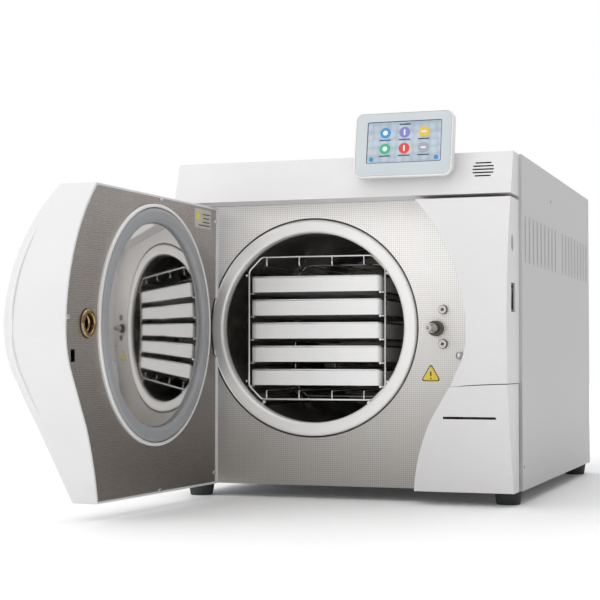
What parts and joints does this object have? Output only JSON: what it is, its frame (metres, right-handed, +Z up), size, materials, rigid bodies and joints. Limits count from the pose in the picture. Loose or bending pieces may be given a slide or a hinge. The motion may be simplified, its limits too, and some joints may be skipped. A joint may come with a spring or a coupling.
{
  "type": "benchtop autoclave",
  "caption": "Benchtop steam autoclave: bowed white cabinet, round front chamber with tray rack, hinged domed door, lock pin, tilting display and service flap.",
  "frame": {"origin": "on the bench, midway between the four feet", "axes": "+Z up, the chamber opens towards -Y, +X to the right seen from the front"},
  "size_m": [0.4944, 1.0319, 0.4963],
  "materials": {
    "cabinet_white": "satin powder coat",
    "cover_white": "semi-gloss painted plastic",
    "stainless": "linen-embossed stainless steel",
    "polished_steel": "polished stainless steel",
    "chamber_steel": "satin stainless steel",
    "dark_steel": "blackened steel",
    "zinc_steel": "zinc-plated steel",
    "brass": "turned brass",
    "silicone": "blue-grey silicone",
    "foot_rubber": "black rubber",
    "aluminium": "satin anodised",
    "insulation": "glass wool blanket",
    "black_plastic": "moulded",
    "grey_plastic": "pale grey moulded",
    "tank_plastic": "natural polypropylene",
    "screen": "cover glass over a display",
    "board_green": "circuit board",
    "paper": "thermal paper",
    "copper": "copper"
  },
  "bodies": {
    "cabinet": {"chassis": "zinc_steel", "feet": "foot_rubber", "fascia": "stainless", "side_panel_left": "cabinet_white", "side_panel_right": "cabinet_white", "top_cover": "cabinet_white", "rear_panel": "cabinet_white", "brow_band": "cover_white", "right_cover": "cover_white", "flap_hinges": "zinc_steel", "pressure_vessel": "chamber_steel", "chamber_flange": "polished_steel", "heater_bands": "silicone", "insulation": "insulation", "chassis_brackets": "zinc_steel", "lock_unit": "dark_steel", "lock_screws": "zinc_steel", "door_sensor": "polished_steel", "hinge_bracket": "dark_steel", "display_bracket": "dark_steel", "clean_water_tank": "tank_plastic", "used_water_tank": "tank_plastic", "steam_generator": "chamber_steel", "vacuum_pump": "aluminium", "power_supply": "zinc_steel", "valve_block": "brass", "control_board": "board_green", "fan_housing": "black_plastic", "condenser": "aluminium", "mains_inlet": "black_plastic", "water_couplings": "polished_steel", "safety_valve": "brass", "printer_case": "black_plastic", "switch_frame": "black_plastic", "air_filter": "tank_plastic", "pipes": "copper"},
    "door": {"door_shell": "cover_white", "door_liner": "stainless", "door_plate": "polished_steel", "door_gasket": "silicone", "gasket_ring": "polished_steel", "door_bar": "zinc_steel", "lock_nut": "brass", "door_hinge_block": "dark_steel", "hinge_pin": "polished_steel"},
    "lock_pin": {"lock_pin": "polished_steel"},
    "display": {"display_case": "cover_white", "display_bezel": "grey_plastic", "touch_screen": "screen"},
    "service_flap": {"service_flap": "cover_white"},
    "rack": {"rack": "polished_steel"},
    "tray_1": {"tray_1": "aluminium"},
    "tray_2": {"tray_2": "aluminium"},
    "tray_3": {"tray_3": "aluminium"},
    "tray_4": {"tray_4": "aluminium"},
    "tray_5": {"tray_5": "aluminium"},
    "tank_lid": {"tank_lid": "cover_white"},
    "fan_rotor": {"fan_rotor": "black_plastic"},
    "paper_roll": {"paper_roll": "paper"},
    "power_rocker": {"power_rocker": "black_plastic"}
  },
  "joints": [
    {"name": "door_hinge", "type": "hinge", "parent": "cabinet", "child": "door", "pos_m": [-0.2085, -0.326, 0.224], "axis": [0, 0, 1], "range_deg": [-17, 93]},
    {"name": "lock_slide", "type": "slide", "parent": "cabinet", "child": "lock_pin", "axis": [0, -1, 0], "range_m": [0, 0.01]},
    {"name": "display_tilt", "type": "hinge", "parent": "cabinet", "child": "display", "pos_m": [0.0895, -0.31785, 0.43505], "axis": [1, 0, 0], "range_deg": [-20, 8]},
    {"name": "flap_hinge", "type": "hinge", "parent": "cabinet", "child": "service_flap", "pos_m": [0.22, -0.286, 0.077], "axis": [0, 0, 1], "range_deg": [0, 90]},
    {"name": "rack_slide", "type": "slide", "parent": "cabinet", "child": "rack", "axis": [0, 1, 0], "range_m": [-0.3, 0]},
    {"name": "tray_1_slide", "type": "slide", "parent": "rack", "child": "tray_1", "axis": [0, 1, 0], "range_m": [-0.3, 0]},
    {"name": "tray_2_slide", "type": "slide", "parent": "rack", "child": "tray_2", "axis": [0, 1, 0], "range_m": [-0.3, 0]},
    {"name": "tray_3_slide", "type": "slide", "parent": "rack", "child": "tray_3", "axis": [0, 1, 0], "range_m": [-0.3, 0]},
    {"name": "tray_4_slide", "type": "slide", "parent": "rack", "child": "tray_4", "axis": [0, 1, 0], "range_m": [-0.3, 0]},
    {"name": "tray_5_slide", "type": "slide", "parent": "rack", "child": "tray_5", "axis": [0, 1, 0], "range_m": [-0.3, 0]},
    {"name": "tank_lid_lift", "type": "slide", "parent": "cabinet", "child": "tank_lid", "axis": [0, 0, 1], "range_m": [0, 0.08]},
    {"name": "fan_spin", "type": "hinge", "parent": "cabinet", "child": "fan_rotor", "pos_m": [-0.08, 0.2875, 0.147], "axis": [0, 1, 0], "continuous": true},
    {"name": "paper_roll_spin", "type": "hinge", "parent": "cabinet", "child": "paper_roll", "pos_m": [0.175, -0.276, 0.111], "axis": [1, 0, 0], "continuous": true},
    {"name": "rocker_press", "type": "hinge", "parent": "cabinet", "child": "power_rocker", "pos_m": [0.2175, -0.32, 0.259], "axis": [0, -1, 0], "range_deg": [0, 12]}
  ]
}
